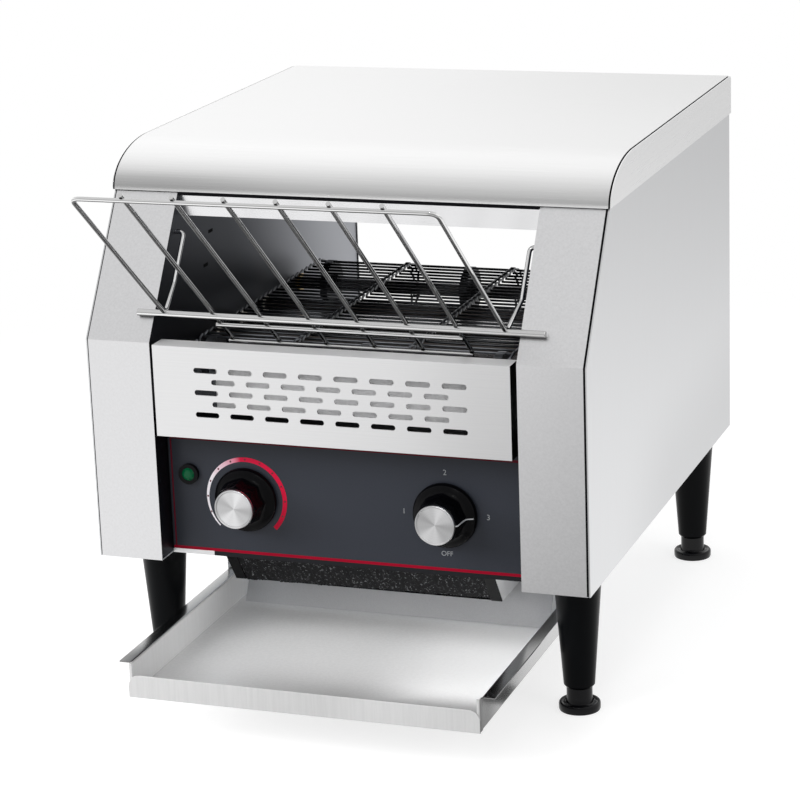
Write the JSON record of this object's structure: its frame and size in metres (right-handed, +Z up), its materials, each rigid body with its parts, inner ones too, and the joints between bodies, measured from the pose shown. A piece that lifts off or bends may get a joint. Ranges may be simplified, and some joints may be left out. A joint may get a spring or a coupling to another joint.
{
  "type": "conveyor toaster",
  "caption": "Countertop conveyor toaster: a wire belt carries bread between heaters to a rear drop, a slide and a front tray, with a loading rack and knobs.",
  "frame": {"origin": "on the table, under the middle of the part's own box, feet screwed in", "axes": "+X to the right as seen from the controls, +Y from the controls to the back, +Z up"},
  "size_m": [0.3704, 0.5607, 0.4032],
  "materials": {
    "stainless_hood": "bright brushed stainless",
    "stainless_panel": "brushed stainless",
    "stainless_inner": "stainless, polished inside",
    "galvanised": "satin galvanised sheet",
    "reflector": "bright",
    "heater": "heat-tinted",
    "ceramic": "unglazed ceramic",
    "film": "printed film, satin",
    "black_plastic": "glossy",
    "black_matte": "matt",
    "knob_cap": "spun, with a turned rim",
    "lens_green": "clear green",
    "belt_wire": "dark wire",
    "steel": "zinc plated",
    "chrome_wire": "polished",
    "brass_bush": "sintered",
    "motor_paint": "satin",
    "control_body": "moulded",
    "switch_body": "moulded",
    "ivory_plastic": "moulded",
    "foot_rubber": "smooth",
    "tray": "satin"
  },
  "bodies": {
    "housing": {"base_plate": "galvanised", "side_frame_left": "stainless_panel", "side_frame_right": "stainless_panel", "side_panel_left": "stainless_panel", "side_panel_right": "stainless_panel", "hood": "stainless_hood", "rear_panel": "stainless_panel", "upper_reflector": "reflector", "lower_reflector": "reflector", "upper_heaters": "heater", "lower_heaters": "heater", "heater_insulators": "ceramic", "toast_slide": "stainless_inner", "vent_panel": "stainless_panel", "vent_backplate": "galvanised", "control_panel": "stainless_panel", "fascia_film": "film", "control_shield": "galvanised", "exit_guard": "stainless_inner", "guard_strip": "black_matte", "tray_rail_left": "stainless_inner", "tray_rail_right": "stainless_inner", "leg_front_left": "black_plastic", "leg_front_right": "black_plastic", "leg_rear_left": "black_plastic", "leg_rear_right": "black_plastic", "shaft_bushes": "brass_bush", "motor_bracket": "steel", "gear_motor": "motor_paint", "speed_control": "control_body", "selector_switch": "switch_body", "terminal_block": "ivory_plastic", "thermostat": "ceramic", "lamp_bezel": "black_matte", "lamp_lens": "lens_green", "fan_housing": "black_matte", "cable_gland": "black_matte", "hood_screws": "steel", "rear_screws": "steel", "leg_bolts": "steel", "conveyor_belt": "belt_wire", "drive_chain": "steel"},
    "toast_tray": {"toast_tray": "tray"},
    "loading_rack": {"loading_rack": "chrome_wire"},
    "drive_shaft": {"drive_shaft": "steel", "drive_sprockets": "belt_wire", "chain_sprocket": "steel"},
    "idler_shaft": {"idler_shaft": "steel", "idler_sprockets": "belt_wire"},
    "motor_output": {"motor_sprocket": "steel"},
    "colour_knob": {"colour_knob": "black_plastic", "colour_knob_cap": "knob_cap"},
    "selector_knob": {"selector_knob": "black_plastic", "selector_knob_cap": "knob_cap"},
    "fan_impeller": {"fan_impeller": "black_matte"},
    "foot_front_left": {"foot_front_left": "foot_rubber"},
    "foot_front_right": {"foot_front_right": "foot_rubber"},
    "foot_rear_left": {"foot_rear_left": "foot_rubber"},
    "foot_rear_right": {"foot_rear_right": "foot_rubber"}
  },
  "joints": [
    {"name": "rack_lift", "type": "hinge", "parent": "housing", "child": "loading_rack", "pos_m": [0, -0.09716, 0.335], "axis": [-1, 0, 0], "range_deg": [0, 135]},
    {"name": "tray_slide", "type": "slide", "parent": "housing", "child": "toast_tray", "axis": [0, -1, 0], "range_m": [0, 0.06]},
    {"name": "colour_turn", "type": "hinge", "parent": "housing", "child": "colour_knob", "pos_m": [-0.075, -0.13556, 0.1505], "axis": [0, 1, 0], "range_deg": [0, 270]},
    {"name": "selector_turn", "type": "hinge", "parent": "housing", "child": "selector_knob", "pos_m": [0.075, -0.13556, 0.1505], "axis": [0, 1, 0], "range_deg": [-270, 0]},
    {"name": "drive_turn", "type": "hinge", "parent": "housing", "child": "drive_shaft", "pos_m": [0, 0.13284, 0.242], "axis": [-1, 0, 0], "continuous": true, "deforming": ["conveyor_belt", "drive_chain"]},
    {"name": "idler_turn", "type": "hinge", "parent": "housing", "child": "idler_shaft", "pos_m": [0, -0.10216, 0.242], "axis": [-1, 0, 0], "continuous": true},
    {"name": "motor_turn", "type": "hinge", "parent": "housing", "child": "motor_output", "pos_m": [0.146, 0.13284, 0.15945], "axis": [-1, 0, 0], "continuous": true},
    {"name": "fan_spin", "type": "hinge", "parent": "housing", "child": "fan_impeller", "pos_m": [0, 0.19584, 0.1065], "axis": [0, 0, 1], "continuous": true},
    {"name": "level_front_left", "type": "slide", "parent": "housing", "child": "foot_front_left", "axis": [0, 0, -1], "range_m": [0, 0.008]},
    {"name": "level_front_right", "type": "slide", "parent": "housing", "child": "foot_front_right", "axis": [0, 0, -1], "range_m": [0, 0.008]},
    {"name": "level_rear_left", "type": "slide", "parent": "housing", "child": "foot_rear_left", "axis": [0, 0, -1], "range_m": [0, 0.008]},
    {"name": "level_rear_right", "type": "slide", "parent": "housing", "child": "foot_rear_right", "axis": [0, 0, -1], "range_m": [0, 0.008]}
  ],
  "couplings": [
    {"joint": "idler_turn", "follows": "drive_turn", "ratio": 1},
    {"joint": "motor_turn", "follows": "drive_turn", "ratio": 1}
  ]
}
